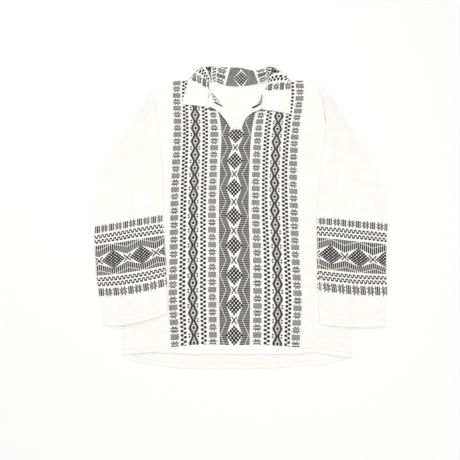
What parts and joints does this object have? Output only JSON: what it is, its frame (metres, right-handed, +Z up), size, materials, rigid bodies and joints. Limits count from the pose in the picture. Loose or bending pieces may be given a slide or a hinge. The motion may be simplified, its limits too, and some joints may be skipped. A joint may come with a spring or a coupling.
{
  "type": "tunic shirt",
  "caption": "Long-sleeved cotton tunic shirt laid flat, front up, with an open pointed collar, a V slit neck and woven geometric brocade bands; the back hem is longer than the front.",
  "frame": {"origin": "on the surface the shirt lies on, under the middle of its outline", "axes": "+Y from the hem to the collar, +Z up out of the front of the laid-out shirt, +X to the right as seen from above with the collar away"},
  "size_m": [0.7542, 0.805, 0.0105],
  "materials": {
    "plain_cloth": "cream plain-weave cotton, matt",
    "brocade_cloth": "cream plain-weave cotton with black woven brocade of stars, bars, chains and chequered diamonds",
    "sleeve_cloth": "cream plain-weave cotton with a black brocade band near the cuff",
    "collar_cloth": "cream cotton with black brocade, doubled",
    "facing_cloth": "cream plain-weave cotton strip with small black float marks"
  },
  "bodies": {
    "root": {"back": "plain_cloth", "front": "brocade_cloth", "sleeve_l": "sleeve_cloth", "sleeve_r": "sleeve_cloth", "collar": "collar_cloth", "slit_facing_l": "facing_cloth", "slit_facing_r": "facing_cloth"}
  },
  "joints": []
}
